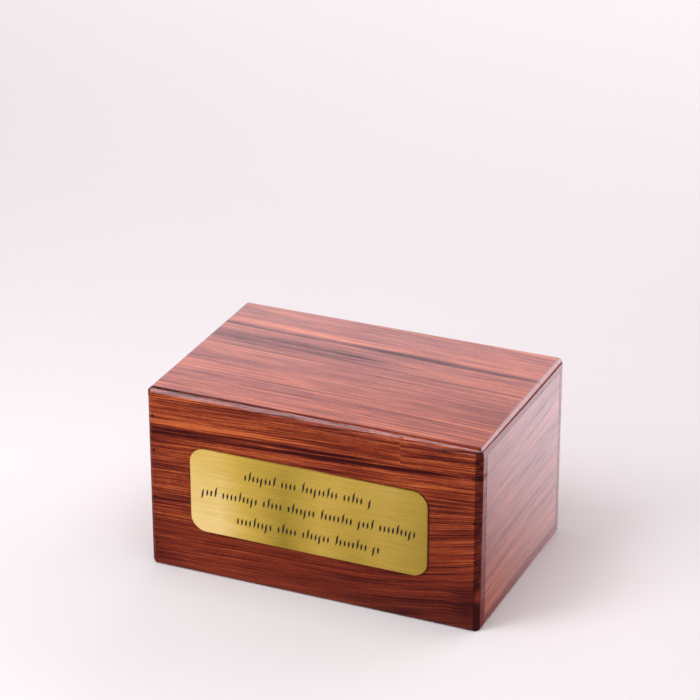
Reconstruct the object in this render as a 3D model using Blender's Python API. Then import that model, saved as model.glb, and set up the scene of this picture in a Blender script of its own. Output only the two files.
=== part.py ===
"""Rosewood urn box with an engraved brass plate.

Six lacquered boards close round an empty inside. The front and back boards run the full width, the side
boards stand between them, the bottom board lies between them under the side boards, and the top board
covers all four walls. A thin brass plate with rows of shallow engraved strokes is fixed to the front.

The box stands on z = 0 with its front towards -Y. The origin is the middle of the whole part's footprint,
plate included. All sizes are in metres.
"""

import math

import bmesh
import bpy

# Outside of the wooden box
BOX_WIDTH = 0.240
BOX_DEPTH = 0.156
BOX_HEIGHT = 0.133

# Thickness of each board
FRONT_THICKNESS = 0.0105
BACK_THICKNESS = 0.0080
SIDE_THICKNESS = 0.0095
TOP_THICKNESS = 0.0074
BOTTOM_THICKNESS = 0.0070

# Softened chamfers: the upper and upright edges, and the smaller one along the foot. Each width is how far
# the chamfer reaches from the sharp corner. A softness of 0.25 is a flat chamfer, and 0.5 a quarter round.
EDGE_WIDTH = 0.0036
FOOT_WIDTH = 0.0016
EDGE_SOFTNESS = 0.34
EDGE_SEGMENTS = 6
FOOT_SEGMENTS = 4
LARGEST_SHARE_OF_BOARD = 0.8

# Clearance left in every joint between two boards, and behind the plate
JOINT_GAP = 0.0003

# Brass plate on the front board
PLATE_WIDTH = 0.172
PLATE_HEIGHT = 0.0622
PLATE_THICKNESS = 0.0008
PLATE_CORNER_RADIUS = 0.0110
PLATE_CORNER_SEGMENTS = 12
PLATE_EDGE_BEVEL = 0.0002
PLATE_LEFT_OF_MIDDLE = 0.0018
PLATE_BELOW_MIDDLE = 0.0020

# Engraving: three rows, each set in from the plate's sides by its own margin
ROW_SIDE_MARGINS = (0.0400, 0.0080, 0.0340)
FIRST_ROW_FROM_TOP = 0.0150
LAST_ROW_FROM_BOTTOM = 0.0132
STROKE_PITCH = 0.0030
STROKE_WIDTH = 0.0014
STROKE_LEAN_DEGREES = 16.0
ENGRAVING_DEPTH = 0.0003
STROKES_IN_A_GROUP = (8, 4, 9, 5, 7)
STEPS_ALONG_A_STROKE = 4

# Heights of the strokes as shares of the distance between two rows: how far each reaches over and under
# the middle of its row
SHORT_STROKE = (0.13, -0.15)
TALL_STROKE = (0.31, -0.15)
LOW_STROKE = (0.13, -0.31)
STROKE_RHYTHM = (SHORT_STROKE, TALL_STROKE, SHORT_STROKE, SHORT_STROKE, LOW_STROKE, SHORT_STROKE,
                 SHORT_STROKE, TALL_STROKE, SHORT_STROKE, SHORT_STROKE, SHORT_STROKE)

WOOD_COLOUR = (0.230, 0.060, 0.024, 1.0)
BRASS_COLOUR = (0.620, 0.430, 0.130, 1.0)
SHARP_ANGLE = math.radians(30.0)
SAME_PLACE = 0.00001


def clear_scene():
    """Remove every object so that the model starts from nothing."""
    for thing in list(bpy.data.objects):
        bpy.data.objects.remove(thing, do_unlink=True)


def plate_stand_off():
    """How far the plate's face stands in front of the front board."""
    return JOINT_GAP + PLATE_THICKNESS


def front_y():
    """Y of the front board's outer face."""
    return (plate_stand_off() - BOX_DEPTH) / 2


def back_y():
    """Y of the back board's outer face."""
    return front_y() + BOX_DEPTH


def wall_top():
    """Height of the walls' upper edge, under the top board."""
    return BOX_HEIGHT - TOP_THICKNESS - JOINT_GAP


def edge_width():
    """Width of the upper and upright chamfers, held inside the thinnest board that carries one."""
    thinnest = min(FRONT_THICKNESS, BACK_THICKNESS, TOP_THICKNESS)
    return min(EDGE_WIDTH, thinnest * LARGEST_SHARE_OF_BOARD)


def foot_width():
    """Width of the chamfer along the foot, held inside the thinnest board that carries it."""
    thinnest = min(FRONT_THICKNESS, BACK_THICKNESS, BOTTOM_THICKNESS)
    return min(FOOT_WIDTH, edge_width(), thinnest * LARGEST_SHARE_OF_BOARD)


def wood_material():
    """Glossy lacquered rosewood."""
    return plain_material("rosewood", WOOD_COLOUR, 0.25, 0.0)


def brass_material():
    """Brushed brass."""
    return plain_material("brushed_brass", BRASS_COLOUR, 0.35, 1.0)


def plain_material(name, colour, roughness, metallic):
    """One material with its colour, roughness and metallic value."""
    material = bpy.data.materials.new(name)
    material.use_nodes = True
    shader = material.node_tree.nodes["Principled BSDF"]
    shader.inputs["Base Color"].default_value = colour
    shader.inputs["Roughness"].default_value = roughness
    shader.inputs["Metallic"].default_value = metallic
    return material


def block(low, high):
    """A rectangular block between two opposite corners."""
    shape = bmesh.new()
    bmesh.ops.create_cube(shape, size=1.0)
    for vertex in shape.verts:
        for axis in range(3):
            middle = (low[axis] + high[axis]) / 2
            vertex.co[axis] = middle + vertex.co[axis] * (high[axis] - low[axis])
    return shape


def lies_at(edge, axis, place):
    """Whether both ends of an edge have the same given coordinate."""
    return all(abs(vertex.co[axis] - place) < SAME_PLACE for vertex in edge.verts)


def chamfer_edges(shape, edges, width, segments):
    """Take the given edges down to softened chamfers."""
    bmesh.ops.bevel(shape, geom=edges, offset=width, offset_type="OFFSET", segments=segments,
                    profile=EDGE_SOFTNESS, affect="EDGES", clamp_overlap=False)


def finish_piece(name, shape, material):
    """Turn a worked shape into a named object with its material."""
    bmesh.ops.remove_doubles(shape, verts=shape.verts, dist=SAME_PLACE)
    bmesh.ops.recalc_face_normals(shape, faces=shape.faces)
    mesh = bpy.data.meshes.new(name)
    shape.to_mesh(mesh)
    shape.free()
    mesh.shade_smooth()
    mesh.set_sharp_from_angle(angle=SHARP_ANGLE)
    mesh.materials.append(material)
    piece = bpy.data.objects.new(name, mesh)
    bpy.context.scene.collection.objects.link(piece)
    return piece


def long_wall(name, outer_y, inner_y, material):
    """A full-width wall: its outer upright edges are chamfered, and so are its three outer foot edges."""
    low = (-BOX_WIDTH / 2, min(outer_y, inner_y), 0.0)
    high = (BOX_WIDTH / 2, max(outer_y, inner_y), wall_top())
    wall = block(low, high)
    ends = (low[0], high[0])
    upright = [edge for edge in wall.edges
               if lies_at(edge, 1, outer_y) and any(lies_at(edge, 0, end) for end in ends)]
    chamfer_edges(wall, upright, edge_width(), EDGE_SEGMENTS)
    foot = [edge for edge in wall.edges if lies_at(edge, 2, 0.0) and not lies_at(edge, 1, inner_y)]
    chamfer_edges(wall, foot, foot_width(), FOOT_SEGMENTS)
    return finish_piece(name, wall, material)


def front_board(material):
    """The full-width front wall."""
    return long_wall("front_board", front_y(), front_y() + FRONT_THICKNESS, material)


def back_board(material):
    """The full-width back wall."""
    return long_wall("back_board", back_y(), back_y() - BACK_THICKNESS, material)


def between_walls():
    """The two Y places between which the side boards and the bottom board fit."""
    near = front_y() + FRONT_THICKNESS + JOINT_GAP
    far = back_y() - BACK_THICKNESS - JOINT_GAP
    return near, far


def side_board(name, side, material):
    """One side wall, flush with the ends of the front and back boards. side is -1 for left, 1 for right."""
    near, far = between_walls()
    outer = side * BOX_WIDTH / 2
    inner = side * (BOX_WIDTH / 2 - SIDE_THICKNESS)
    low = (min(outer, inner), near, BOTTOM_THICKNESS + JOINT_GAP)
    high = (max(outer, inner), far, wall_top())
    return finish_piece(name, block(low, high), material)


def bottom_board(material):
    """The floor of the box, with its two ends showing under the side boards and chamfered along the foot."""
    near, far = between_walls()
    low = (-BOX_WIDTH / 2, near, 0.0)
    high = (BOX_WIDTH / 2, far, BOTTOM_THICKNESS)
    floor = block(low, high)
    foot = [edge for edge in floor.edges
            if lies_at(edge, 2, 0.0) and (lies_at(edge, 0, low[0]) or lies_at(edge, 0, high[0]))]
    chamfer_edges(floor, foot, foot_width(), FOOT_SEGMENTS)
    return finish_piece("bottom_board", floor, material)


def top_board(material):
    """The cover over all four walls, chamfered along its upper edges and its upright corners."""
    low = (-BOX_WIDTH / 2, front_y(), BOX_HEIGHT - TOP_THICKNESS)
    high = (BOX_WIDTH / 2, back_y(), BOX_HEIGHT)
    cover = block(low, high)
    outer = [edge for edge in cover.edges if not lies_at(edge, 2, low[2])]
    chamfer_edges(cover, outer, edge_width(), EDGE_SEGMENTS)
    return finish_piece("top_board", cover, material)


def rounded_rectangle(width, height, radius, segments):
    """Points round a rectangle with circular corners, anticlockwise from the lower right corner's start."""
    points = []
    for corner in range(4):
        turn = corner * math.pi / 2
        sign_x = (1, 1, -1, -1)[corner]
        sign_z = (-1, 1, 1, -1)[corner]
        centre_x = sign_x * (width / 2 - radius)
        centre_z = sign_z * (height / 2 - radius)
        for step in range(segments + 1):
            angle = turn - math.pi / 2 + step * math.pi / 2 / segments
            points.append((centre_x + radius * math.cos(angle), centre_z + radius * math.sin(angle)))
    return points


def plate_centre():
    """X and Z of the plate's middle on the front board."""
    return -PLATE_LEFT_OF_MIDDLE, BOX_HEIGHT / 2 - PLATE_BELOW_MIDDLE


def plate_radius():
    """Corner radius of the plate, held inside half its shorter side."""
    return min(PLATE_CORNER_RADIUS, PLATE_WIDTH * 0.45, PLATE_HEIGHT * 0.45)


def plate_blank():
    """The plate before engraving: a rounded rectangle with a fine bevel round its face."""
    centre_x, centre_z = plate_centre()
    back = front_y() - JOINT_GAP
    face = back - PLATE_THICKNESS
    bevel = min(PLATE_EDGE_BEVEL, PLATE_THICKNESS * LARGEST_SHARE_OF_BOARD)
    rings = ((0.0, back), (0.0, face + bevel), (bevel, face))
    shape = bmesh.new()
    loops = []
    for inset, depth in rings:
        outline = rounded_rectangle(PLATE_WIDTH - 2 * inset, PLATE_HEIGHT - 2 * inset,
                                    plate_radius() - inset, PLATE_CORNER_SEGMENTS)
        loops.append([shape.verts.new((centre_x + x, depth, centre_z + z)) for x, z in outline])
    for lower, upper in zip(loops, loops[1:]):
        for index in range(len(lower)):
            after = (index + 1) % len(lower)
            shape.faces.new((lower[index], lower[after], upper[after], upper[index]))
    shape.faces.new(loops[0])
    shape.faces.new(loops[-1])
    return shape


def row_places():
    """Z of the middle of each row, from the top row down, and the distance between two rows."""
    centre_z = plate_centre()[1]
    first = centre_z + PLATE_HEIGHT / 2 - FIRST_ROW_FROM_TOP
    last = centre_z - PLATE_HEIGHT / 2 + LAST_ROW_FROM_BOTTOM
    steps = len(ROW_SIDE_MARGINS) - 1
    return [first + (last - first) * row / steps for row in range(steps + 1)], (first - last) / steps


def stroke_places(margin, first_group):
    """X of each stroke in a row, in groups with one place left free between two groups."""
    span = PLATE_WIDTH - 2 * margin
    count = int(span / STROKE_PITCH) + 1
    start = plate_centre()[0] - (count - 1) * STROKE_PITCH / 2
    places = []
    group = first_group
    in_group = 0
    for index in range(count):
        if in_group == STROKES_IN_A_GROUP[group % len(STROKES_IN_A_GROUP)]:
            group += 1
            in_group = 0
            continue
        places.append(start + index * STROKE_PITCH)
        in_group += 1
    return places


def stroke_outline(middle_x, row_z, reach, row_spacing):
    """Outline of one leaning stroke: a blade that is widest in its middle and bends a little like an S."""
    top, bottom = reach[0] * row_spacing, reach[1] * row_spacing
    lean = math.tan(math.radians(STROKE_LEAN_DEGREES))
    right, left = [], []
    for step in range(STEPS_ALONG_A_STROKE + 1):
        share = step / STEPS_ALONG_A_STROKE
        height = bottom + (top - bottom) * share
        bend = 0.25 * STROKE_WIDTH * math.sin(2 * math.pi * share)
        half = STROKE_WIDTH / 2 * (0.35 + 0.65 * math.sin(math.pi * share))
        middle = middle_x + height * lean + bend
        right.append((middle + half, row_z + height))
        left.append((middle - half, row_z + height))
    return right + left[::-1]


def stroke_cutter(material):
    """All strokes as small upright blades that pass through the plate's face to the engraving depth."""
    face = front_y() - JOINT_GAP - PLATE_THICKNESS
    floor = face + min(ENGRAVING_DEPTH, PLATE_THICKNESS * LARGEST_SHARE_OF_BOARD)
    outside = face - ENGRAVING_DEPTH
    shape = bmesh.new()
    rows, spacing = row_places()
    for row, row_z in enumerate(rows):
        for index, middle_x in enumerate(stroke_places(ROW_SIDE_MARGINS[row], row)):
            reach = STROKE_RHYTHM[(index + 4 * row) % len(STROKE_RHYTHM)]
            outline = stroke_outline(middle_x, row_z, reach, spacing)
            add_prism(shape, outline, outside, floor)
    cutter = finish_piece("stroke_cutter", shape, material)
    cutter.hide_render = True
    cutter.display_type = "WIRE"
    return cutter


def add_prism(shape, outline, near, far):
    """Add a closed prism over an outline in X and Z, between two Y places."""
    front = [shape.verts.new((x, near, z)) for x, z in outline]
    rear = [shape.verts.new((x, far, z)) for x, z in outline]
    for index in range(len(outline)):
        after = (index + 1) % len(outline)
        shape.faces.new((front[index], front[after], rear[after], rear[index]))
    shape.faces.new(front)
    shape.faces.new(rear)


def name_plate(material):
    """The brass plate with its rows of strokes cut into the face."""
    plate = finish_piece("name_plate", plate_blank(), material)
    engraving = plate.modifiers.new("engraving", "BOOLEAN")
    engraving.operation = "DIFFERENCE"
    engraving.solver = "EXACT"
    engraving.object = stroke_cutter(material)
    return plate


def build_box():
    """Model every piece in its place."""
    clear_scene()
    wood = wood_material()
    front_board(wood)
    back_board(wood)
    side_board("left_side_board", -1, wood)
    side_board("right_side_board", 1, wood)
    bottom_board(wood)
    top_board(wood)
    name_plate(brass_material())


build_box()
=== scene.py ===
"""Rosewood urn box with a brushed brass plate: finish, light and view.

Six lacquered boards with softly chamfered edges close the box, and an engraved plate lies on its front. The
boards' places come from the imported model. Shapes are in metres and materials in millimetres, with +Z up and
the front towards -Y.
"""

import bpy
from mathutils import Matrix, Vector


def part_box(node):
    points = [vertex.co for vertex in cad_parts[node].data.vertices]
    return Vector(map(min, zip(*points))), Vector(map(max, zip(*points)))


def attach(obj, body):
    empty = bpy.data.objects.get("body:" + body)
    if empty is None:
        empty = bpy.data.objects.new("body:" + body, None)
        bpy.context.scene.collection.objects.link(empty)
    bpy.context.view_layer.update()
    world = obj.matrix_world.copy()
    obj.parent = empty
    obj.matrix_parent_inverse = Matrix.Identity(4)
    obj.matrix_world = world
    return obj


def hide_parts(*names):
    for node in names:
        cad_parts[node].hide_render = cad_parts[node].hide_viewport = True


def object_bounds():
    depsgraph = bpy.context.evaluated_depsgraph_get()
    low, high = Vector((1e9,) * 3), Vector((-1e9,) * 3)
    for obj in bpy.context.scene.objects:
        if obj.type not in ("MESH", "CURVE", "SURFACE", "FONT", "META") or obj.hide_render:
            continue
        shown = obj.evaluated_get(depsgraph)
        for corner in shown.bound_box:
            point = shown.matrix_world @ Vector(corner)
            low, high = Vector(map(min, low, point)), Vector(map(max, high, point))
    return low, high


bl_info = {
    "name": "Rosewood Urn Box",
    "version": (1, 0, 0),
    "blender": (4, 5, 0),
    "location": "3D Viewport > Sidebar > Urn Box",
    "description": "Builds the boards, the plate and the studio of a lacquered urn box",
    "category": "Add Mesh",
}

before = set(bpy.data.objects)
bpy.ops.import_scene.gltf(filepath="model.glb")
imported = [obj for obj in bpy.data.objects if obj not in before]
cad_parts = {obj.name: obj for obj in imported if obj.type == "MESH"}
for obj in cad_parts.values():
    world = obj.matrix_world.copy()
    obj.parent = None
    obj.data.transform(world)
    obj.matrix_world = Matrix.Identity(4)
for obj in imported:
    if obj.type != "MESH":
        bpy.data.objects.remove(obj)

import math
from collections import namedtuple

import bpy
import numpy as np
from mathutils import Matrix, Vector

MODEL_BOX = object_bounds()
MM = 0.001

# Painted sheen: how bright the brass's reflection is, painted into its tone along the plate, from its left
# end to its right one, at its lower and its upper edge
PAINTED_SHEEN_BELOW = ((0.0, 0.94), (0.13, 0.92), (0.27, 0.68), (0.40, 0.42), (0.55, 0.71), (0.70, 0.60),
               (0.81, 0.69), (1.0, 0.60))
PAINTED_SHEEN_ABOVE = ((0.0, 0.80), (0.12, 0.79), (0.25, 0.65), (0.41, 0.54), (0.57, 0.72), (0.86, 0.76), (1.0, 0.68))

# How finely the boards are divided. A chamfer wider than SHORTEST_FULL_CHAMFER takes EDGE_STEPS steps, and a
# narrower one ARRIS_STEPS. BESIDE_AN_EDGE is how near a ring of points follows each edge. Heights are rounded
# to HEIGHT_DECIMALS of a metre, so that two that nearly meet become one.
STATION_STEP = 0.004
FINE_STEP = 0.0004
FINE_REACH = 0.0020
EDGE_STEPS = 10
ARRIS_STEPS = 3
SHORTEST_FULL_CHAMFER = 0.0005
BESIDE_AN_EDGE = 0.0003
SMALLEST_CORNER = 0.00002
HEIGHT_DECIMALS = 7

# Curve of the level edges' chamfers and of the upright corners': 1 is a flat chamfer and 2 a quarter round.
# Where three chamfers meet, the upright one gets narrower by CORNER_PINCH times the others' inset.
EDGE_CURVE = 1.285
CORNER_CURVE = 1.13
CORNER_PINCH = 1.6

# Width of the upper front chamfer at its left and its right end, against the others, and how much rounder it
# is at the right. The upright one beside it grows from the foot to the joint and narrows again above it.
SANDED_LEFT = 0.88
SANDED_RIGHT = 1.32
ROUNDER_RIGHT = 0.45
SANDED_FOOT = 0.90
SANDED_CORNER = 1.30
SANDED_TIP = 0.75

# Width of the upper right chamfer at the front corner, against the others, and the length over which it grows
NARROW_CORNER = 0.62
NARROW_LENGTH = 0.075

# How the upper front chamfer's width wavers along X: height, rate and phase of each sine. The waves begin at
# WAVE_START from each end and are at full height WAVE_RAMP farther on.
SANDING_WAVES = ((0.045, 61.0, 0.7), (0.035, 143.0, 2.0), (0.025, 317.0, 4.1))
WAVE_START = 0.006
WAVE_RAMP = 0.02

# The order of a board's four sides, seen from above. The upright corners are listed in the order right near,
# right far, left far and left near.
RIGHT, FAR, LEFT, NEAR = range(4)

# Filled nail holes on the front: X from the middle and height, in metres
NAILS = ((-0.1153, 0.1125), (-0.1153, 0.0870), (-0.1153, 0.0520), (-0.1150, 0.0160),
         (0.1178, 0.1124), (0.1160, 0.0800), (0.1168, 0.0517))
NAIL_RADIUS = 0.0011
NAIL_DEPTH = 0.00012

# A small dent in the upper front chamfer. DENT_IN and DENT_DOWN place it, as shares of the chamfer's width,
# and DENT_SLANT is the share of its depth that goes inwards, and downwards.
DENT_X = 0.0655
DENT_IN = 0.3
DENT_DOWN = 0.6
DENT_SLANT = 0.7
DENT_RADIUS = 0.0016
DENT_DEPTH = 0.00014

# Places on the front board in millimetres, along it and up it: the knot, the graft line's middle, the start
# of the end strip, and the height of the dark streak at the upper right nail
KNOT = (232.0, 22.0)
GRAFT = (183.8, 121.0)
END_STRIP = 235.6
NAIL_STREAK = 112.2


# Sockets and nodes

class Wire:
    """An output socket. Arithmetic on it adds Math nodes, and node() adds any other node."""

    def __init__(self, tree, socket=None):
        self.tree = tree
        self.socket = socket

    def node(self, kind, settings=None, sockets=None, output=0):
        """Add a node: its type, its settings or a ramp's stops, then its sockets' values or links."""
        node = self.tree.nodes.new(kind)
        for name, value in (settings or {}).items():
            if name == "stops":
                self.set_stops(node.color_ramp, value)
            else:
                setattr(node, name, value)
        for name, value in (sockets or {}).items():
            if isinstance(value, Wire):
                self.tree.links.new(value.socket, node.inputs[name])
            else:
                node.inputs[name].default_value = value
        return Wire(self.tree, node.outputs[output])

    @staticmethod
    def set_stops(ramp, stops):
        """Give a colour ramp its places and colours."""
        while len(ramp.elements) < len(stops):
            ramp.elements.new(1.0)
        for element, (place, colour) in zip(ramp.elements, stops):
            element.position = place
            element.color = rgba(colour)

    def maths(self, operation, *values):
        """A Math node on these values."""
        return self.node("ShaderNodeMath", {"operation": operation}, dict(enumerate(values)))

    def __add__(self, other):
        return self.maths("ADD", self, other)

    __radd__ = __add__

    def __sub__(self, other):
        return self.maths("SUBTRACT", self, other)

    def __rsub__(self, other):
        return self.maths("SUBTRACT", other, self)

    def __mul__(self, other):
        return self.maths("MULTIPLY", self, other)

    __rmul__ = __mul__

    def __truediv__(self, other):
        return self.maths("DIVIDE", self, other)

    def __pow__(self, other):
        return self.maths("POWER", self, other)

    def __abs__(self):
        return self.maths("ABSOLUTE", self)

    def above(self, value):
        """This value or the other, whichever is larger."""
        return self.maths("MAXIMUM", self, value)

    def below(self, value):
        """This value or the other, whichever is smaller."""
        return self.maths("MINIMUM", self, value)

    def rise(self, low, high):
        """0 up to low and 1 from high on, with a smooth step between them."""
        return self.node("ShaderNodeMapRange", {"interpolation_type": "SMOOTHSTEP"},
                         {"Value": self, "From Min": low, "From Max": high})

    def band(self, middle, half, soft=0.5):
        """1 in a band round a middle value and 0 outside it, with soft sides."""
        return 1.0 - abs(self - middle).rise(half * (1.0 - soft), half * (1.0 + soft))

    def mix(self, first, second):
        """A colour between two colours, by this value."""
        return self.node("ShaderNodeMix", {"data_type": "RGBA"}, {0: self, 6: first, 7: second}, output=2)


def rgba(colour):
    """A colour with full alpha."""
    return (*colour[:3], 1.0)


def noise(place, sizes, detail=2.0, seed=0.0, roughness=0.5):
    """Soft noise about zero over a place given by three wires, with one size for each of them."""
    first, second, third = place
    vector = first.node("ShaderNodeCombineXYZ", None,
                        {0: first / sizes[0] + seed, 1: second / sizes[1], 2: third / sizes[2] + seed})
    texture = first.node("ShaderNodeTexNoise", {"noise_dimensions": "3D"},
                         {"Vector": vector, "Scale": 1.0, "Detail": detail, "Roughness": roughness})
    return texture - 0.5


def split(sheet, vector):
    """X, Y and Z of a vector, as three wires."""
    node = sheet.node("ShaderNodeSeparateXYZ", None, {0: vector}).socket.node
    return [Wire(sheet.tree, output) for output in node.outputs]


def object_place(sheet):
    """X, Y and Z of the surface in millimetres, as three wires."""
    return [part * (1.0 / MM) for part in split(sheet, sheet.node("ShaderNodeTexCoord", output=3))]


def surface_normal(sheet):
    """The three parts of the surface's own direction."""
    return split(sheet, sheet.node("ShaderNodeNewGeometry", output=1))


def new_material(name):
    """An empty material, its sheet of nodes and its surface shader."""
    material = bpy.data.materials.new(name)
    material.use_nodes = True
    tree = material.node_tree
    tree.nodes.clear()
    shader = tree.nodes.new("ShaderNodeBsdfPrincipled")
    output = tree.nodes.new("ShaderNodeOutputMaterial")
    tree.links.new(shader.outputs[0], output.inputs[0])
    return material, Wire(tree), shader


def feed(sheet, shader, **values):
    """Set or link the shader's sockets, whose names are given with _ for a space."""
    for name, value in values.items():
        socket = shader.inputs[name.replace("_", " ")]
        if isinstance(value, Wire):
            sheet.tree.links.new(value.socket, socket)
        else:
            socket.default_value = value


# Sizes and colours that a user may change

class UrnWood(bpy.types.PropertyGroup):
    """Shape and finish of the boards."""

    edge_width: bpy.props.FloatProperty(
        name="Edge width", description="Chamfer of the upper and upright edges", default=0.0036,
        min=0.0005, max=0.006, precision=4, subtype="DISTANCE", unit="LENGTH")
    foot_width: bpy.props.FloatProperty(
        name="Foot width", description="Chamfer along the foot", default=0.0016,
        min=0.0003, max=0.004, precision=4, subtype="DISTANCE", unit="LENGTH")
    arris_width: bpy.props.FloatProperty(
        name="Arris width", description="Easing of the edges in the joints", default=0.00008,
        min=0.00005, max=0.0005, precision=5, subtype="DISTANCE", unit="LENGTH")
    joint_gap: bpy.props.FloatProperty(
        name="Joint gap", description="Width of the glue lines between the boards", default=0.00004,
        min=0.00002, max=0.0003, precision=5, subtype="DISTANCE", unit="LENGTH")
    dark_colour: bpy.props.FloatVectorProperty(
        name="Dark grain", description="Colour of the dark streaks", default=(0.048, 0.0065, 0.0065),
        size=3, min=0.0, max=1.0, subtype="COLOR")
    red_colour: bpy.props.FloatVectorProperty(
        name="Red grain", description="Colour of most of the wood", default=(0.255, 0.036, 0.012),
        size=3, min=0.0, max=1.0, subtype="COLOR")
    light_colour: bpy.props.FloatVectorProperty(
        name="Light grain", description="Colour of the bright lines", default=(0.620, 0.146, 0.040),
        size=3, min=0.0, max=1.0, subtype="COLOR")
    end_colour: bpy.props.FloatVectorProperty(
        name="End grain", description="Colour of the cut ends", default=(0.185, 0.031, 0.023),
        size=3, min=0.0, max=1.0, subtype="COLOR")
    lacquer_roughness: bpy.props.FloatProperty(
        name="Lacquer roughness", description="Roughness of the clear lacquer", default=0.10,
        min=0.0, max=1.0, subtype="FACTOR")


class UrnPlate(bpy.types.PropertyGroup):
    """Finish of the brass plate."""

    brass_colour: bpy.props.FloatVectorProperty(
        name="Brass", description="Colour of the brushed brass", default=(0.72, 0.485, 0.088),
        size=3, min=0.0, max=1.0, subtype="COLOR")
    # The palest brass is painted sheen: the bright reflection at the plate's lower left, painted into its
    # colour
    painted_sheen_colour: bpy.props.FloatVectorProperty(
        name="Pale brass", description="Colour of the palest brass", default=(0.96, 0.72, 0.285),
        size=3, min=0.0, max=1.0, subtype="COLOR")
    # The dullest brass is partly tarnish and partly painted shade: it colours the dark streak of the painted
    # sheen and the shaded upper and right rim
    tarnish_and_shade_colour: bpy.props.FloatVectorProperty(
        name="Tarnish", description="Colour of the dullest brass, and of the upper and right rim",
        default=(0.32, 0.22, 0.022), size=3, min=0.0, max=1.0, subtype="COLOR")
    fill_colour: bpy.props.FloatVectorProperty(
        name="Fill", description="Colour of the paint in the engraving", default=(0.008, 0.007, 0.006),
        size=3, min=0.0, max=1.0, subtype="COLOR")
    roughness: bpy.props.FloatProperty(
        name="Roughness", description="Mean roughness along and across the brushing", default=0.50,
        min=0.0, max=1.0, subtype="FACTOR")
    fill_depth: bpy.props.FloatProperty(
        name="Fill depth", description="How far under the face the paint begins", default=0.00003,
        min=0.0, max=0.0003, precision=5, subtype="DISTANCE", unit="LENGTH")


class UrnStudio(bpy.types.PropertyGroup):
    """Floor, light and view."""

    floor_colour: bpy.props.FloatVectorProperty(
        name="Floor", description="Colour of the pale floor", default=(0.74, 0.71, 0.69),
        size=3, min=0.0, max=1.0, subtype="COLOR")
    key_light: bpy.props.FloatProperty(
        name="Key light", description="Brightness of the two softboxes in front", default=5.2, min=0.0)
    fill_light: bpy.props.FloatProperty(
        name="Fill light", description="Brightness of the soft light overhead", default=2.3, min=0.0)
    rim_light: bpy.props.FloatProperty(
        name="Rim light", description="Brightness of the light behind on the right", default=3.4, min=0.0)
    backdrop_light: bpy.props.FloatProperty(
        name="Backdrop light", description="Brightness of the white backdrop", default=2.65, min=0.0)


# Shapes

def chamfer_turn(angle, curve=EDGE_CURVE):
    """Points of a chamfer of width 1 round its centre.

    They are cos(angle) and sin(angle), each to the power 2 / curve.
    """
    turn = np.stack([np.cos(angle), np.sin(angle)], -1)
    return np.sign(turn) * np.abs(turn) ** (2.0 / curve)


def chamfer_heights(width, steps):
    """Heights of a chamfer's points over the face that it starts from."""
    return width * (1.0 - chamfer_turn(np.linspace(0.0, np.pi / 2, steps + 1))[:, 0])


def inset(width, height, curve=EDGE_CURVE):
    """How far a chamfer lies inside its upright face at a height from the flat face.

    With share = 1 - height / width, it is width x (1 - (1 - share ^ curve) ^ (1 / curve)).
    """
    share = np.clip(1.0 - height / width, 0.0, 1.0)
    return width * (1.0 - (1.0 - share ** curve) ** (1.0 / curve))


def places(length, fine_places=()):
    """Places along a length: even steps, close steps round each fine place, and one beside each end.

    Each is rounded to a quarter of a fine step, and those at the very ends are left out.
    """
    even = np.linspace(0.0, length, max(2, int(length / STATION_STEP)) + 1)
    steps = np.arange(-FINE_REACH, FINE_REACH + FINE_STEP / 2, FINE_STEP)
    close = [place + steps for place in fine_places]
    sides = [[BESIDE_AN_EDGE, length - BESIDE_AN_EDGE]]
    every = np.round(np.concatenate([even, *close, *sides]) / FINE_STEP * 4) * FINE_STEP / 4
    every = np.unique(every)
    return every[(every > FINE_STEP / 4) & (every < length - FINE_STEP / 4)]


def outline_rings(bounds, radii, steps, shares):
    """Rectangles with chamfered corners as an array of levels by points by (x, y).

    bounds holds right, far, left and near for each level. Each corner is centre + width x chamfer_turn, and
    between two corners the points lie on a straight line at given shares.
    """
    right, far, left, near = bounds
    centres = np.stack([
        np.stack([right - radii[0], near + radii[0]], -1),
        np.stack([right - radii[1], far - radii[1]], -1),
        np.stack([left + radii[2], far - radii[2]], -1),
        np.stack([left + radii[3], near + radii[3]], -1)])
    parts = []
    for corner in range(4):
        angle = (corner - 1 + np.linspace(0.0, 1.0, steps[corner] + 1)) * np.pi / 2
        turn = chamfer_turn(angle, CORNER_CURVE)
        arc = centres[corner][:, None, :] + radii[corner][:, None, None] * turn[None]
        after = (corner + 1) % 4
        goal = centres[after] + radii[after][:, None] * turn[-1]
        share = shares[corner][None, :, None]
        straight = arc[:, -1:, :] * (1.0 - share) + goal[:, None, :] * share
        parts += [arc, straight]
    return np.concatenate(parts, 1)


def chamfer_steps(width):
    """How many steps a chamfer of this width takes."""
    return EDGE_STEPS if width > SHORTEST_FULL_CHAMFER else ARRIS_STEPS


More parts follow.
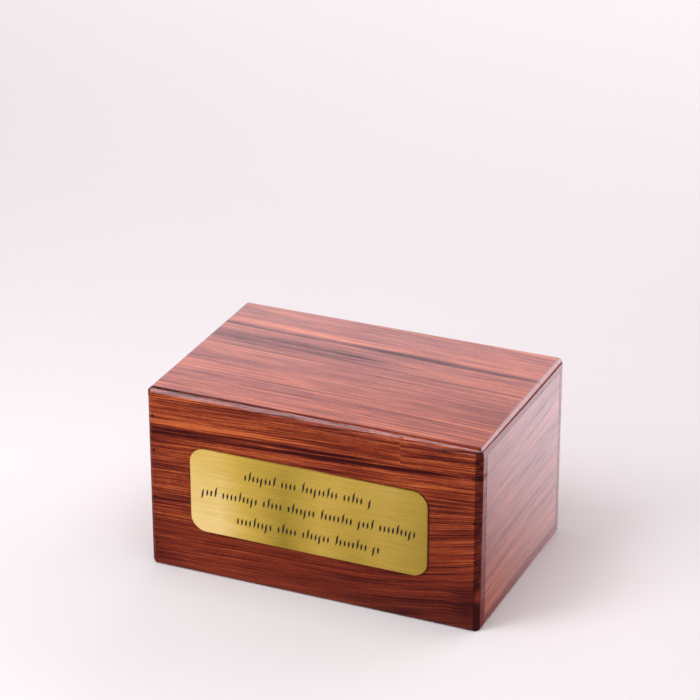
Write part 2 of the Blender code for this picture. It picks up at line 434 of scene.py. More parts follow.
def board_points(low, high, corners, foot, crown, fine_along=(), fine_up=(), cap_insets=()):
    """Rings of a board's surface, from the flat of its underside to the flat of its top.

    low and high are opposite corners. corners holds the chamfer of each upright corner, or its width at the
    foot and at the top. foot and crown hold the chamfer of each side's lower and upper edge. A ring at
    height z lies inside the board's box by the inset of both chamfers there. cap_insets adds rings on the
    flat top, each that far inside the upper chamfers.
    """
    height = high[2] - low[2]
    caps = np.array([BESIDE_AN_EDGE, *cap_insets])
    step_heights = [chamfer_heights(width, chamfer_steps(width)) for width in sorted(set(foot))]
    step_heights += [height - chamfer_heights(width, chamfer_steps(width)) for width in sorted(set(crown))]
    beside = [[max(foot) + BESIDE_AN_EDGE, height - max(crown) - BESIDE_AN_EDGE]]
    levels = np.concatenate([places(height, [z - low[2] for z in fine_up]), *step_heights, *beside])
    levels = np.unique(np.round(levels, HEIGHT_DECIMALS))
    insets = [inset(foot[side], levels) + inset(crown[side], height - levels) for side in range(4)]
    insets = [np.concatenate([foot[side] + caps[:1], insets[side], crown[side] + caps])
              for side in range(4)]
    z = np.concatenate([[0.0], levels, np.full(len(caps), height)]) + low[2]
    shares_up = np.concatenate([[0.0], levels / height, np.ones(len(caps))])
    bounds = (high[0] - insets[RIGHT], high[1] - insets[FAR], low[0] + insets[LEFT], low[1] + insets[NEAR])
    between = ((NEAR, RIGHT), (RIGHT, FAR), (FAR, LEFT), (LEFT, NEAR))
    radii = []
    for corner, (one, other) in enumerate(between):
        at_foot, at_top = np.broadcast_to(corners[corner], 2)
        nominal = at_foot + (at_top - at_foot) * shares_up
        pinch = CORNER_PINCH * np.minimum(insets[one], insets[other])
        radii.append(np.clip(nominal - pinch, SMALLEST_CORNER, None))
    steps = [chamfer_steps(np.max(radius)) for radius in radii]
    width, depth = high[0] - low[0], high[1] - low[1]
    along = places(width, [x - low[0] for x in fine_along]) / width
    across = places(depth) / depth
    rings = outline_rings(bounds, radii, steps, [across, along, across, along])
    return np.dstack([rings, np.broadcast_to(z[:, None], rings.shape[:2])])


def closed_mesh(name, rings):
    """A mesh from rings of points: quads between two rings, and one face across each end."""
    levels, count = rings.shape[:2]
    index = np.arange(levels * count).reshape(levels, count)
    after = np.roll(index, -1, axis=1)
    quads = np.stack([index[:-1], after[:-1], after[1:], index[1:]], -1).reshape(-1, 4)
    faces = quads.tolist() + [index[0][::-1].tolist(), index[-1].tolist()]
    mesh = bpy.data.meshes.new(name)
    mesh.from_pydata(rings.reshape(-1, 3), [], faces)
    mesh.update()
    mesh.shade_smooth()
    return mesh


def place_board(name, rings, node, material):
    """Add a board as a piece that stands for its node in the model."""
    piece = bpy.data.objects.new(name, closed_mesh(name, rings))
    bpy.context.scene.collection.objects.link(piece)
    piece.data.materials.append(material)
    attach(piece, "root")
    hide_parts(node)


def press_nails(rings, face):
    """Sink a shallow round dish at each nail: depth x exp(-(distance / radius)^2), on the front face only."""
    on_face = rings[..., 1] < face + BESIDE_AN_EDGE
    for x, z in NAILS:
        far = ((rings[..., 0] - x) ** 2 + (rings[..., 2] - z) ** 2) / NAIL_RADIUS ** 2
        rings[..., 1] += on_face * NAIL_DEPTH * np.exp(-far)
    return rings


def sand_unevenly(rings, low, high, width):
    """Let the front chamfer grow and get rounder to the right, as hand sanding leaves it, and add one dent.

    The width is multiplied by a straight rise along X + the sanding waves, which fade out at both ends. Each
    point moves in by the difference of the two insets at its height, and the move fades out behind them. The
    right chamfer gets narrower towards the front in the same way.
    """
    x, depth = rings[..., 0], rings[..., 1] - low[1]
    height = high[2] - rings[..., 2]
    share = (x - low[0]) / (high[0] - low[0])
    reach = np.clip((np.minimum(x - low[0], high[0] - x) - WAVE_START) / WAVE_RAMP, 0.0, 1.0)
    wave = sum(swell * np.sin(x * rate + phase) for swell, rate, phase in SANDING_WAVES)
    local = width * (SANDED_LEFT + (SANDED_RIGHT - SANDED_LEFT) * share + wave * reach)
    move = inset(local, height, EDGE_CURVE + ROUNDER_RIGHT * share ** 2) - inset(width, height)
    rings[..., 1] += move * np.clip(1.0 - (depth - width) / STATION_STEP, 0.0, 1.0)
    narrow = width * (NARROW_CORNER + (1.0 - NARROW_CORNER) * np.clip(depth / NARROW_LENGTH, 0.0, 1.0))
    widening = inset(width, height) - inset(narrow, height)
    rings[..., 0] += widening * np.clip(1.0 - (high[0] - x - width) / STATION_STEP, 0.0, 1.0)
    middle = (DENT_X, low[1] + DENT_IN * width, high[2] - DENT_DOWN * width)
    far = np.sum((rings - middle) ** 2, -1) / DENT_RADIUS ** 2
    push = DENT_DEPTH * np.exp(-far) * DENT_SLANT
    rings[..., 1] += push
    rings[..., 2] -= push
    return rings


# Wood

# A band is a strip of lighter grain, or of darker grain where its strength is below zero: its middle across
# the board, half its width, its strength, and where it starts and ends along the board, in millimetres.
Band = namedtuple("Band", "across half strength start end")

# A figure is one board's grain: the seed of its noise, how it slopes and wanders, how strong its fine lines
# are, how much lighter the whole board is, how much gloss its cut ends keep, and its bands.
Figure = namedtuple("Figure", "seed slope wander lines lift end_gloss bands")

FRONT_FIGURE = Figure(seed=3.7, slope=0.045, wander=1.6, lines=1.28, lift=0.0, end_gloss=0.90, bands=(
    Band(103.8, 1.3, -0.50, -20, 170),
    Band(100.4, 1.4, -0.48, -20, 225),
    Band(100.0, 3.0, -0.30, 165, 260),
    Band(105.6, 1.4, 0.16, 165, 260),
    Band(108.2, 1.6, 0.26, -20, 130),
    Band(112.5, 0.7, 0.16, -20, 70),
    Band(118.4, 1.2, -0.10, 120, 260),
    Band(122.0, 4.0, -0.06, 170, 260),
    Band(96.0, 3.0, 0.12, 150, 260),
    Band(48.0, 8.0, -0.12, -20, 70),
    Band(73.5, 3.5, -0.20, 195, 250),
    Band(51.0, 4.5, -0.20, 195, 250)))
TOP_FIGURE = Figure(seed=11.3, slope=-0.033, wander=1.6, lines=0.80, lift=0.01, end_gloss=0.85, bands=(
    Band(41.0, 2.4, -0.28, -20, 260),
    Band(22.8, 8.0, -0.32, -20, 150),
    Band(47.2, 1.8, 0.16, -20, 260),
    Band(50.2, 0.8, 0.14, -20, 140),
    Band(15.2, 0.9, 0.20, -20, 120),
    Band(5.0, 0.8, 0.14, -20, 160),
    Band(-27.0, 7.0, 0.07, -20, 150),
    Band(-60.0, 12.0, 0.05, -20, 260)))
RIGHT_FIGURE = Figure(seed=23.9, slope=0.03, wander=1.6, lines=0.52, lift=0.02, end_gloss=1.0, bands=(
    Band(101.0, 1.6, -0.10, 60, 160),
    Band(26.5, 0.8, 0.26, -20, 110),
    Band(20.5, 0.7, 0.26, -20, 90),
    Band(34.0, 2.0, -0.08, -20, 160)))
LEFT_FIGURE = Figure(seed=31.1, slope=-0.02, wander=3.0, lines=0.6, lift=0.0, end_gloss=1.0, bands=(
    Band(70.0, 4.0, -0.2, -20, 170),))
BACK_FIGURE = Figure(seed=47.5, slope=0.02, wander=4.0, lines=0.9, lift=0.0, end_gloss=0.9, bands=(
    Band(88.0, 3.0, -0.25, -20, 260), Band(40.0, 6.0, -0.12, -20, 260)))
FLOOR_FIGURE = Figure(seed=59.2, slope=0.0, wander=3.0, lines=0.7, lift=0.15, end_gloss=0.75, bands=())


def wood_tone(along, across, through, figure, bends):
    """How light the wood is, from 0 to 1, and the fine hair lines in it.

    The grain runs along the board. The place across it is turned by the figure's slope and bent by soft
    noise, and layers of noise stretched along the grain are summed on it, from broad zones to hair lines.
    Each band then lightens or darkens a strip of that bent place.
    """
    seed = figure.seed
    plain = (along, across, through)
    drift = noise(plain, (120.0, 40.0, 40.0), 1.0, seed) * (2.0 * figure.wander)
    ripple = noise(plain, (24.0, 6.0, 6.0), 2.0, seed + 5.0) * 0.7
    bent = across - along * figure.slope - bends + drift + ripple
    grain = (along, bent, through)
    broad = noise(grain, (110.0, 15.0, 15.0), 2.0, seed + 1.0)
    mottle = noise(grain, (13.0, 4.0, 4.0), 2.0, seed + 9.0)
    stripes = noise(grain, (90.0, 3.0, 9.0), 2.0, seed + 2.0)
    lines = noise(grain, (75.0, 0.95, 6.0), 2.0, seed + 3.0)
    flecks = noise(grain, (4.0, 0.8, 2.0), 2.0, seed + 8.0)
    hairs = noise(grain, (26.0, 0.42, 3.0), 2.0, seed + 4.0, 0.6)
    fine = lines * 1.55 + flecks * 0.34 + hairs * 0.8
    tone = 0.50 + figure.lift + broad * 0.5 + mottle * 0.24 + stripes * 0.5 + fine * figure.lines
    for band in figure.bands:
        span = along.rise(band.start, band.start + 30.0) * (1.0 - along.rise(band.end - 40.0, band.end))
        tone = tone + bent.band(band.across, band.half) * span * (band.strength + stripes * 0.4)
    return tone, hairs


class Detail:
    """What only one board shows. This plain one changes nothing."""

    def bends(self, along, across):
        """How far the grain is pushed across the board."""
        return 0.0

    def tone(self, tone, along, across, through):
        """The tone with the board's own light and dark places."""
        return tone

    def colour(self, colour, place):
        """The colour with the board's own spots and lines."""
        return colour

    def gloss(self, place):
        """How much of the lacquer's gloss is left."""
        return 1.0


def wood_material(name, settings, grain_axis, face_axis, figure, detail=Detail()):
    """Lacquered rosewood for one board. The lacquer is duller on its cut ends and over its dark grain.

    grain_axis is the axis along the grain, face_axis the one across it. detail holds what only one board has.
    """
    material, sheet, shader = new_material(name)
    place = object_place(sheet)
    normal = surface_normal(sheet)
    through_axis = 3 - grain_axis - face_axis
    start = MODEL_BOX[0][grain_axis] / MM
    along = place[grain_axis] - start
    across, through = place[face_axis], place[through_axis]
    tone, hairs = wood_tone(along, across, through, figure, detail.bends(along, across))
    tone = detail.tone(tone, along, across, through)
    colour = sheet.node("ShaderNodeValToRGB", {"stops": (
        (0.0, settings.dark_colour),
        (0.28, [0.45 * dark + 0.55 * red for dark, red in zip(settings.dark_colour, settings.red_colour)]),
        (0.50, settings.red_colour),
        (0.75, [0.5 * red + 0.5 * light for red, light in zip(settings.red_colour, settings.light_colour)]),
        (1.0, settings.light_colour))}, {0: tone})
    pores = noise((along, across, through), (2.4, 0.32, 0.32), 1.0, figure.seed + 6.0).rise(0.16, 0.22)
    colour = (pores * 0.55).mix(colour, rgba(settings.dark_colour))
    endness = abs(normal[grain_axis]).rise(0.72, 0.97)
    specks = noise((along, across, through), (1.4, 0.5, 0.5), 2.0, figure.seed + 7.0)
    dark_end, pale_end = (rgba([share * part for part in settings.end_colour]) for share in (0.5, 1.5))
    end_colour = (0.5 + 2.0 * figure.lift + specks * 1.6).mix(dark_end, pale_end)
    colour = (endness * 0.86).mix(colour, end_colour)
    colour = detail.colour(colour, place)
    gloss = (1.0 - endness * (1.0 - figure.end_gloss)) * (0.60 + tone * 0.8).below(1.0) * detail.gloss(place)
    bump = sheet.node("ShaderNodeBump", None, {"Strength": 0.25, "Distance": 0.0001, "Height": hairs})
    feed(sheet, shader, Base_Color=colour, Roughness=0.6, Normal=bump, Specular_IOR_Level=0.0,
         Coat_Weight=gloss, Coat_Roughness=settings.lacquer_roughness, Coat_IOR=1.5)
    return material


class FrontDetail(Detail):
    """What only the front board shows: bent grain at the right, a graft line, a knot, and nail spots."""

    def bends(self, along, across):
        """The grain climbs at the right, also above the plate, sags to the knot, and steps at the graft."""
        climb = (along - 150.0).above(0.0) ** 2.0 * 0.0013 * (1.0 - across.rise(70.0, 100.0))
        near = 1.0 - self.from_knot(along, across).rise(2.0, 26.0)
        step = along.rise(GRAFT[0] - 0.4, GRAFT[0] + 0.4)
        graft = step * across.rise(111.0, 114.0) * (1.0 - across.rise(127.5, 129.0))
        upper = (along - 175.0).above(0.0) * 0.02 * across.rise(85.0, 100.0)
        return climb + upper - near * 3.0 - graft * 1.5

    def from_knot(self, along, across):
        """Distance from the knot in millimetres, squeezed so that the knot is taller than wide."""
        wide = (along - KNOT[0]) * 1.3
        tall = across - KNOT[1]
        return (wide * wide + tall * tall) ** 0.5

    def tone(self, tone, along, across, through):
        """The upper left is lighter, the left end, the lower right and the knot are darker.

        Below the plate and to its right the grain is softer. The end strip at the right is dark, with one
        pale spot near the foot and a darker streak at the upper nail. The lighter upper left and the darker
        lower part and lower right are partly the wood's own tone and partly painted light and shade, for the
        key light that falls from the upper left.
        """
        # Partly painted shade: the lower part is darker, more so to the right, where less key light falls
        low = (1.0 - across.rise(2.0, 50.0)) * along.rise(30.0, 190.0)
        near = 1.0 - self.from_knot(along, across).rise(0.0, 22.0)
        calm = 1.0 - self.from_knot(along, across).rise(0.0, 30.0)
        tone = tone + (0.42 - tone) * calm * 0.5
        beside_plate = along.rise(190.0, 210.0) * (1.0 - across.rise(60.0, 90.0))
        soft = (1.0 - across.rise(20.0, 60.0)).above(beside_plate)
        tone = tone + (0.54 - tone) * soft * 0.35
        # Partly painted light: the upper left is lighter, where the key light falls most
        upper = across.rise(92.0, 112.0) * (1.0 - along.rise(20.0, 130.0))
        left = 1.0 - along.rise(0.0, 30.0)
        graft = along.band(GRAFT[0], 0.6) * across.band(GRAFT[1], 7.0, 0.2)
        # Partly painted shade: darker at the bottom and to the right of the plate
        lower = 1.0 - across.rise(24.0, 60.0) + along.rise(196.0, 206.0) * across.rise(24.0, 60.0) * 0.6
        patch = across.band(25.0, 5.0, 1.0) * along.band(238.5, 2.0, 1.0)
        strip = along.rise(END_STRIP, END_STRIP + 0.8) * (0.28 - patch * 0.60)
        strip = strip + across.band(NAIL_STREAK, 1.6) * along.rise(232.0, 236.0) * 0.30
        return (tone - low * 0.26 - lower * 0.14 - near * 0.14 + upper * 0.14 - left * 0.10 + graft * 0.08
                - strip)

    def colour(self, colour, place):
        """A dark filled spot at each nail."""
        spots = 0.0
        for x, z in NAILS:
            wide = place[0] - x / MM
            tall = place[2] - z / MM
            far = (wide * wide + tall * tall) ** 0.5
            spots = far.band(0.0, NAIL_RADIUS / MM, 0.35) + spots
        return (spots.below(1.0) * 0.85).mix(colour, rgba((0.012, 0.007, 0.007)))


class TopDetail(Detail):
    """What only the top board shows: a darker front edge, a lighter back, and the front board's grain."""

    def from_front(self, y):
        """How far a place lies behind the board's front face."""
        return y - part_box("top_board")[0].y / MM

    def tone(self, tone, along, across, through):
        """The front edge is darker, more so to the right, and the strip at the right end is nearly even.

        The lower half of the front edge matches the front board, so that the joint between them is hidden.
        The left of the front chamfer is darker too. The darker front edge is painted shade, for the dark
        reflection along the top of the chamfer, and the darker left of the chamfer is painted shade that dims
        its highlight.
        """
        from_front = self.from_front(across)
        edge = 1.0 - from_front.rise(3.0, 6.0)
        back = across.rise(20.0, 50.0)
        end = along.rise(236.2, 237.2)
        tone = tone + (0.33 - tone) * end * 0.7
        # Painted shade: the front edge is darkened, more to the right, for the dark reflection along the top
        # of its chamfer
        tone = tone - edge * (0.20 + along.rise(100.0, 230.0) * 0.08) + back * 0.04
        front = FrontDetail()
        match = wood_tone(along, through, across, FRONT_FIGURE, front.bends(along, through))[0]
        match = front.tone(match, along, through, across)
        low = 1.0 - from_front.rise(0.8, 2.4)
        # Painted shade: the left of the front chamfer is darkened, which dims its highlight
        chamfer = edge * through.rise(129.8, 131.0) * (1.0 - along.rise(60.0, 200.0)) * 0.24
        return tone * (1.0 - low) + match * low - chamfer

    def gloss(self, place):
        """The left edge is rubbed dull, and the front chamfer's lacquer is patchy."""
        chamfer = 1.0 - self.from_front(place[1]).rise(2.5, 4.5)
        patches = noise(place, (2.2, 1.1, 1.1), 2.0, 5.0) * chamfer * 1.5
        return (0.15 + (place[0] - MODEL_BOX[0][0] / MM).rise(1.0, 4.0) * 0.85) * (1.0 + patches)


class SideDetail(Detail):
    """What only the side boards show: a lighter lower part, and a dark glue line along their four joints."""

    def __init__(self, low, high):
        self.low, self.high = low / MM, high / MM

    def tone(self, tone, along, across, through):
        """The lower third is lighter."""
        return tone + (1.0 - across.rise(15.0, 55.0)) * 0.15

    def line(self, place):
        """The glue line, strongest over the foot."""
        line = 0.0
        for axis, strength in ((1, 0.6), (2, 0.9)):
            line = (1.0 - (place[axis] - self.low[axis]).rise(0.3, 1.2)) * strength + line
            line = (1.0 - (self.high[axis] - place[axis]).rise(0.3, 1.2)) * 0.6 + line
        return line.below(0.9)

    def colour(self, colour, place):
        """The glue line is dark red."""
        return self.line(place).mix(colour, rgba((0.070, 0.010, 0.010)))

    def gloss(self, place):
        """The glue line is dull."""
        return 1.0 - self.line(place) * 0.45


# Brass

def brass_material(settings, low, high):
    """Brass brushed along X, paler at its lower left, with black paint in the strokes.

    Its tone follows one ramp along the lower edge and one along the upper edge, mixed by height; these ramps
    are painted sheen, pale at the lower left and dark in a streak near the middle. The upper and right rim is
    darkened with painted shade. The paint is where the surface lies deeper than the face and away from the
    plate's outline.
    """
    material, sheet, shader = new_material("brushed_brass")
    x, y, z = object_place(sheet)
    place = (x, y, z)
    brush = noise(place, (14.0, 1.0, 0.16), 3.0, 2.0, 0.6)
    scratches = noise(place, (26.0, 1.0, 0.45), 2.0, 9.0, 0.6)
    clouds = noise(place, (30.0, 1.0, 12.0), 2.0, 5.0)
    share = (x - low.x) / (high.x - low.x)
    height = (z - low.z) / (high.z - low.z)
    below, above = (sheet.node("ShaderNodeValToRGB", {"stops": [(at, (tone,) * 3) for at, tone in sheen]},
                               {0: share}) for sheen in (PAINTED_SHEEN_BELOW, PAINTED_SHEEN_ABOVE))
    # Painted sheen: the two ramps put the brass's bright and dark reflections into its tone, and the noises
    # add brushing, scratches and clouds
    tone = below * (1.0 - height) + above * height + brush * 0.22 + scratches * 0.28 + clouds * 0.10
    colour = sheet.node("ShaderNodeValToRGB", {"stops": (
        (0.36, settings.tarnish_and_shade_colour),
        (0.74, settings.brass_colour),
        (0.95, settings.painted_sheen_colour))}, {0: tone})
    from_right = high.x - x
    from_top = high.z - z
    # Painted shade: the upper and the right rim are darkened with the dullest brass colour
    rim = (1.0 - from_right.rise(0.3, 1.5)).above(1.0 - from_top.rise(0.2, 1.0))
    colour = (rim * 0.6).mix(colour, rgba(settings.tarnish_and_shade_colour))
    inside = from_right.rise(1.0, 1.4) * (x - low.x).rise(1.0, 1.4) * from_top.rise(1.0, 1.4)
    inside = inside * (z - low.z).rise(1.0, 1.4)
    depth = settings.fill_depth / MM
    fill = (y - low.y).rise(depth * 0.4, depth) * inside
    colour = fill.mix(colour, rgba(settings.fill_colour))
    bump = sheet.node("ShaderNodeBump", None, {"Strength": 0.12, "Distance": 0.0001, "Height": brush})
    feed(sheet, shader, Base_Color=colour, Metallic=1.0 - fill,
         Roughness=settings.roughness + brush * 0.12 + fill * 0.2, Normal=bump,
         Anisotropic=1.0, Anisotropic_Rotation=0.25)
    return material


# Operators, one for each board or pair

def front_corners(settings):
    """Chamfers of the front board's upright corners. The right one grows towards the top."""
    edge, arris = settings.edge_width, settings.arris_width
    return (SANDED_FOOT * edge, SANDED_CORNER * edge), arris, arris, edge


class URN_OT_front_board(bpy.types.Operator):
    """Full-width front wall with chamfered upright edges and foot"""

    bl_idname = "urn.front_board"
    bl_label = "Front Board"

    def execute(self, context):
        settings = context.scene.urn_wood
        low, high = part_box("front_board")
        high.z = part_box("top_board")[0].z - settings.joint_gap
        foot, arris = settings.foot_width, settings.arris_width
        rings = board_points(low, high, front_corners(settings), (foot, arris, foot, foot), (arris,) * 4,
                             [x for x, z in NAILS], [z for x, z in NAILS])
        rings = press_nails(rings, low.y)
        material = wood_material("front_board_wood", settings, 0, 2, FRONT_FIGURE, FrontDetail())
        place_board("lacquered_front_board", rings, "front_board", material)
        return {"FINISHED"}


class URN_OT_back_board(bpy.types.Operator):
    """Full-width back wall with chamfered upright edges and foot"""

    bl_idname = "urn.back_board"
    bl_label = "Back Board"

    def execute(self, context):
        settings = context.scene.urn_wood
        low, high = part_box("back_board")
        high.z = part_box("top_board")[0].z - settings.joint_gap
        foot, arris, edge = settings.foot_width, settings.arris_width, settings.edge_width
        rings = board_points(low, high, (arris, edge, edge, arris), (foot, foot, foot, arris), (arris,) * 4)
        material = wood_material("back_board_wood", settings, 0, 2, BACK_FIGURE)
        place_board("lacquered_back_board", rings, "back_board", material)
        return {"FINISHED"}


class URN_OT_side_boards(bpy.types.Operator):
    """Left and right walls, fitted between the front and the back board"""

    bl_idname = "urn.side_boards"
    bl_label = "Side Boards"

    def execute(self, context):
        settings = context.scene.urn_wood
        arris, gap = settings.arris_width, settings.joint_gap
        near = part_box("front_board")[1].y + gap
        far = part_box("back_board")[0].y - gap
        for side, figure in (("left", LEFT_FIGURE), ("right", RIGHT_FIGURE)):
            node = side + "_side_board"
            low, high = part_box(node)
            low = Vector((low.x, near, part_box("bottom_board")[1].z + gap))
            high = Vector((high.x, far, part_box("top_board")[0].z - gap))
            rings = board_points(low, high, (arris,) * 4, (2 * arris,) * 4, (arris,) * 4)
            material = wood_material(node + "_wood", settings, 1, 2, figure, SideDetail(low, high))
            place_board("lacquered_" + node, rings, node, material)
        return {"FINISHED"}


class URN_OT_bottom_board(bpy.types.Operator):
    """Floor of the box, whose ends show under the side boards"""

    bl_idname = "urn.bottom_board"
    bl_label = "Bottom Board"

    def execute(self, context):
        settings = context.scene.urn_wood
        foot, arris, gap = settings.foot_width, settings.arris_width, settings.joint_gap
        low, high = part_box("bottom_board")
        low.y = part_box("front_board")[1].y + gap
        high.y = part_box("back_board")[0].y - gap
        rings = board_points(low, high, (arris,) * 4, (foot, arris, foot, arris), (arris,) * 4)
        material = wood_material("bottom_board_wood", settings, 0, 1, FLOOR_FIGURE)
        place_board("lacquered_bottom_board", rings, "bottom_board", material)
        return {"FINISHED"}


class URN_OT_top_board(bpy.types.Operator):
    """Cover with chamfered upper edges, sanded by hand along the front"""

    bl_idname = "urn.top_board"
    bl_label = "Top Board"

    def execute(self, context):
        settings = context.scene.urn_wood
        edge, arris = settings.edge_width, settings.arris_width
        low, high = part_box("top_board")
        corners = ((SANDED_CORNER * edge, SANDED_TIP * edge), edge, edge, edge)
        half = (high.y - low.y) / 2 - edge
        cap_insets = np.arange(STATION_STEP, half - STATION_STEP / 2, STATION_STEP)
        fine_up = [high.z - SANDED_CORNER * edge]
        rings = board_points(low, high, corners, (arris,) * 4, (edge,) * 4, [DENT_X], fine_up, cap_insets)
        rings = sand_unevenly(rings, low, high, edge)
        material = wood_material("top_board_wood", settings, 0, 1, TOP_FIGURE, TopDetail())
        place_board("lacquered_top_board", rings, "top_board", material)
        return {"FINISHED"}


class URN_OT_name_plate(bpy.types.Operator):
    """Brushed brass and black paint on the engraved plate"""

    bl_idname = "urn.name_plate"
    bl_label = "Name Plate"

    def execute(self, context):
        settings = context.scene.urn_plate
        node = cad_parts["name_plate"]
        low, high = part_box("name_plate")
        material = brass_material(settings, low / MM, high / MM)
        if not node.material_slots:
            node.data.materials.append(material)
        for slot in node.material_slots:
            slot.material = material
        return {"FINISHED"}


# Studio

FocusView = namedtuple("FocusView", "target azimuth elevation roll distance shift_right shift_down lens")
PHOTO_VIEW = FocusView(target=(0.0, 0.00055, 0.0665), azimuth=23.649, elevation=24.911, roll=0.115,
                       distance=1.9581, shift_right=0.00503, shift_down=0.07483, lens=147.43)

# The height that the softboxes face, the tint of the two in front, and the lower one's share of brightness
LIT_HEIGHT = 0.07
KEY_TINT = (0.98, 0.96, 1.06)
LOW_KEY_SHARE = 0.3


def add_camera(view):
    """A camera that looks at the target from its front right, moved sideways and up to frame the box.

    The view's angles are in degrees, its distances in metres, and its lens in millimetres.
    """
    azimuth, elevation, roll = (math.radians(angle) for angle in (view.azimuth, view.elevation, view.roll))
    forward = Vector((-math.sin(azimuth) * math.cos(elevation), math.cos(azimuth) * math.cos(elevation),
                      -math.sin(elevation)))
    level = Vector((math.cos(azimuth), math.sin(azimuth), 0.0))
    upright = level.cross(forward)
    right = level * math.cos(roll) - upright * math.sin(roll)
    down = -upright * math.cos(roll) - level * math.sin(roll)
    place = Vector(view.target) - right * view.shift_right - down * view.shift_down - forward * view.distance
    data = bpy.data.cameras.new("photo_view")
    data.sensor_width = 36.0
    data.lens = view.lens
    data.clip_start = 0.05
    data.clip_end = 60.0
    camera = bpy.data.objects.new("photo_view", data)
    camera.matrix_world = Matrix((
        (right.x, -down.x, -forward.x, place.x),
        (right.y, -down.y, -forward.y, place.y),
        (right.z, -down.z, -forward.z, place.z),
        (0.0, 0.0, 0.0, 1.0)))
    bpy.context.scene.collection.objects.link(camera)
    bpy.context.scene.camera = camera


def add_softbox(name, direction, distance, size, radiance, colour=(1.0, 1.0, 1.0), mirrored=True):
    """A rectangular light that faces the box from a direction. Its power is radiance x pi x area."""
    data = bpy.data.lights.new(name, "AREA")
    data.shape = "RECTANGLE"
    data.size, data.size_y = size
    data.energy = radiance * math.pi * size[0] * size[1]
    data.color = colour
    light = bpy.data.objects.new(name, data)
    toward = Vector(direction).normalized()
    light.location = toward * distance + Vector((0.0, 0.0, LIT_HEIGHT))
    light.rotation_euler = toward.to_track_quat("Z", "Y").to_euler()
    light.visible_camera = False
    light.visible_glossy = mirrored
    bpy.context.scene.collection.objects.link(light)


def flat_sheet(name, half, height):
    """A square sheet on a level plane."""
    mesh = bpy.data.meshes.new(name)
    corners = [(-half, -half, height), (half, -half, height), (half, half, height), (-half, half, height)]
    mesh.from_pydata(corners, [], [(0, 1, 2, 3)])
    sheet = bpy.data.objects.new(name, mesh)
    bpy.context.scene.collection.objects.link(sheet)
    return sheet


def floor_material(colour):
    """Pale matt floor with a faint mottle, which glows towards the back."""
    material, sheet, shader = new_material("pale_floor")
    place = object_place(sheet)
    mottle = noise(place, (60.0, 60.0, 60.0), 3.0, 1.0)
    tint = (0.5 + mottle).mix(rgba([0.985 * part for part in colour]), rgba(colour))
    far = place[1].rise(100.0, 1600.0)
    glow = far.mix(rgba((0.0, 0.0, 0.0)), rgba([0.62 * part for part in colour]))
    feed(sheet, shader, Base_Color=tint, Roughness=0.8, Specular_IOR_Level=0.1, Emission_Color=glow,
         Emission_Strength=1.0)
    return material


def mirrored_floor_material():
    """What the lacquer reflects of the table: dark in front of the box and brighter the farther behind it."""
    material, sheet, shader = new_material("mirrored_table")
    x, y, z = object_place(sheet)
    front = MODEL_BOX[0][1] / MM
    half = MODEL_BOX[1][0] / MM
    behind = (y - front) - (abs(x) - half).above(0.0) * 0.25
    glow = 0.10 + behind.rise(-52.0, 362.0) * 2.36 * (0.35 + x.rise(-half, half) * 0.65)
    tree = sheet.tree
    emission = sheet.node("ShaderNodeEmission", None, {"Color": (1.0, 0.93, 1.03, 1.0), "Strength": glow})
    tree.nodes.remove(shader)
    output = next(node for node in tree.nodes if node.type == "OUTPUT_MATERIAL")
    tree.links.new(emission.socket, output.inputs[0])
    return material


def paint_world(backdrop, rim):
    """A white backdrop behind the box, dark above, in front and along the horizon, and pale to the camera.

    The wall reaches higher in one patch, and a brighter window stands behind the box on the right.
    """
    world = bpy.data.worlds.new("studio")
    world.use_nodes = True
    tree = world.node_tree
    tree.nodes.clear()
    sheet = Wire(tree)
    x, y, z = split(sheet, sheet.node("ShaderNodeTexCoord", output=0))
    higher = x.rise(-0.31, -0.22) * y.rise(0.68, 0.80) * (1.0 - z.rise(0.60, 0.70))
    wall = y.rise(0.0, 0.35) * z.rise(0.14, 0.24) * (1.0 - z.rise(0.385, 0.50) * (1.0 - higher))
    glow = 0.10 + wall * backdrop
    window = x.rise(0.12, 0.40) * y.rise(0.3, 0.6) * z.rise(0.16, 0.26) * (1.0 - z.rise(0.44, 0.60))
    glow = glow + window * rim
    seen = sheet.node("ShaderNodeLightPath", output=0)
    lit = sheet.node("ShaderNodeBackground", None, {"Color": (1.0, 0.91, 1.01, 1.0), "Strength": glow})
    pale = sheet.node("ShaderNodeBackground", None, {"Color": (0.80, 0.77, 0.75, 1.0), "Strength": 1.0})
    shown = sheet.node("ShaderNodeMixShader", None, {0: seen, 1: lit, 2: pale})
    output = tree.nodes.new("ShaderNodeOutputWorld")
    tree.links.new(shown.socket, output.inputs[0])
    bpy.context.scene.world = world


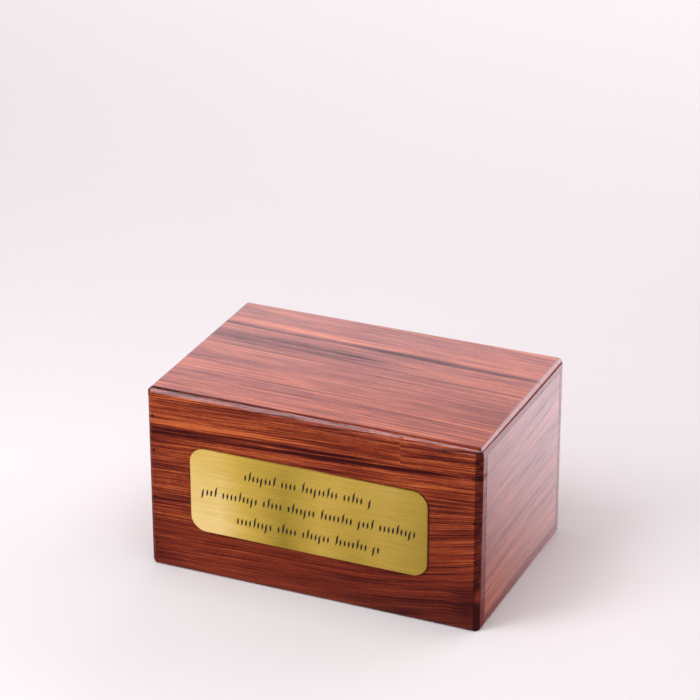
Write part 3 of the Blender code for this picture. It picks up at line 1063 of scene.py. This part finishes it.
class URN_OT_studio(bpy.types.Operator):
    """Pale floor, soft light and the camera"""

    bl_idname = "urn.studio"
    bl_label = "Studio"

    def execute(self, context):
        settings = context.scene.urn_studio
        add_camera(PHOTO_VIEW)
        context.scene.view_settings.view_transform = "Standard"
        floor = flat_sheet("pale_floor", 6.0, 0.0)
        floor.data.materials.append(floor_material(settings.floor_colour))
        floor.visible_glossy = False
        mirrored = flat_sheet("mirrored_table", 3.0, -0.001)
        mirrored.data.materials.append(mirrored_floor_material())
        for ray in ("camera", "diffuse", "shadow", "transmission", "volume_scatter"):
            setattr(mirrored, "visible_" + ray, False)
        low_key_light = LOW_KEY_SHARE * settings.key_light
        add_softbox("key", (-0.435, -0.50, 0.74), 1.5, (0.54, 1.50), settings.key_light, KEY_TINT)
        add_softbox("low_key", (-0.36, -0.92, 0.17), 1.5, (0.62, 0.75), low_key_light, KEY_TINT)
        add_softbox("fill", (0.05, -0.25, 1.0), 1.6, (1.8, 1.6), settings.fill_light, mirrored=False)
        paint_world(settings.backdrop_light, settings.rim_light)
        return {"FINISHED"}


class URN_PT_panel(bpy.types.Panel):
    """Every piece of the box, and the sizes and colours behind it"""

    bl_idname = "URN_PT_panel"
    bl_label = "Urn Box"
    bl_space_type = "VIEW_3D"
    bl_region_type = "UI"
    bl_category = "Urn Box"

    def draw(self, context):
        layout = self.layout
        for operator in OPERATORS:
            layout.operator(operator.bl_idname)
        for group in (context.scene.urn_wood, context.scene.urn_plate, context.scene.urn_studio):
            box = layout.box()
            for name in group.__annotations__:
                box.prop(group, name)


OPERATORS = (URN_OT_front_board, URN_OT_back_board, URN_OT_side_boards, URN_OT_bottom_board,
             URN_OT_top_board, URN_OT_name_plate, URN_OT_studio)
CLASSES = (UrnWood, UrnPlate, UrnStudio, *OPERATORS, URN_PT_panel)


def register():
    """Register the classes and hang the settings on the scene."""
    for each in CLASSES:
        bpy.utils.register_class(each)
    bpy.types.Scene.urn_wood = bpy.props.PointerProperty(type=UrnWood)
    bpy.types.Scene.urn_plate = bpy.props.PointerProperty(type=UrnPlate)
    bpy.types.Scene.urn_studio = bpy.props.PointerProperty(type=UrnStudio)


def unregister():
    """Take the settings and the classes away again."""
    for name in ("urn_wood", "urn_plate", "urn_studio"):
        delattr(bpy.types.Scene, name)
    for each in reversed(CLASSES):
        bpy.utils.unregister_class(each)


def main():
    register()
    bpy.ops.urn.front_board()
    bpy.ops.urn.back_board()
    bpy.ops.urn.side_boards()
    bpy.ops.urn.bottom_board()
    bpy.ops.urn.top_board()
    bpy.ops.urn.name_plate()
    bpy.ops.urn.studio()


if __name__ == "__main__":
    main()
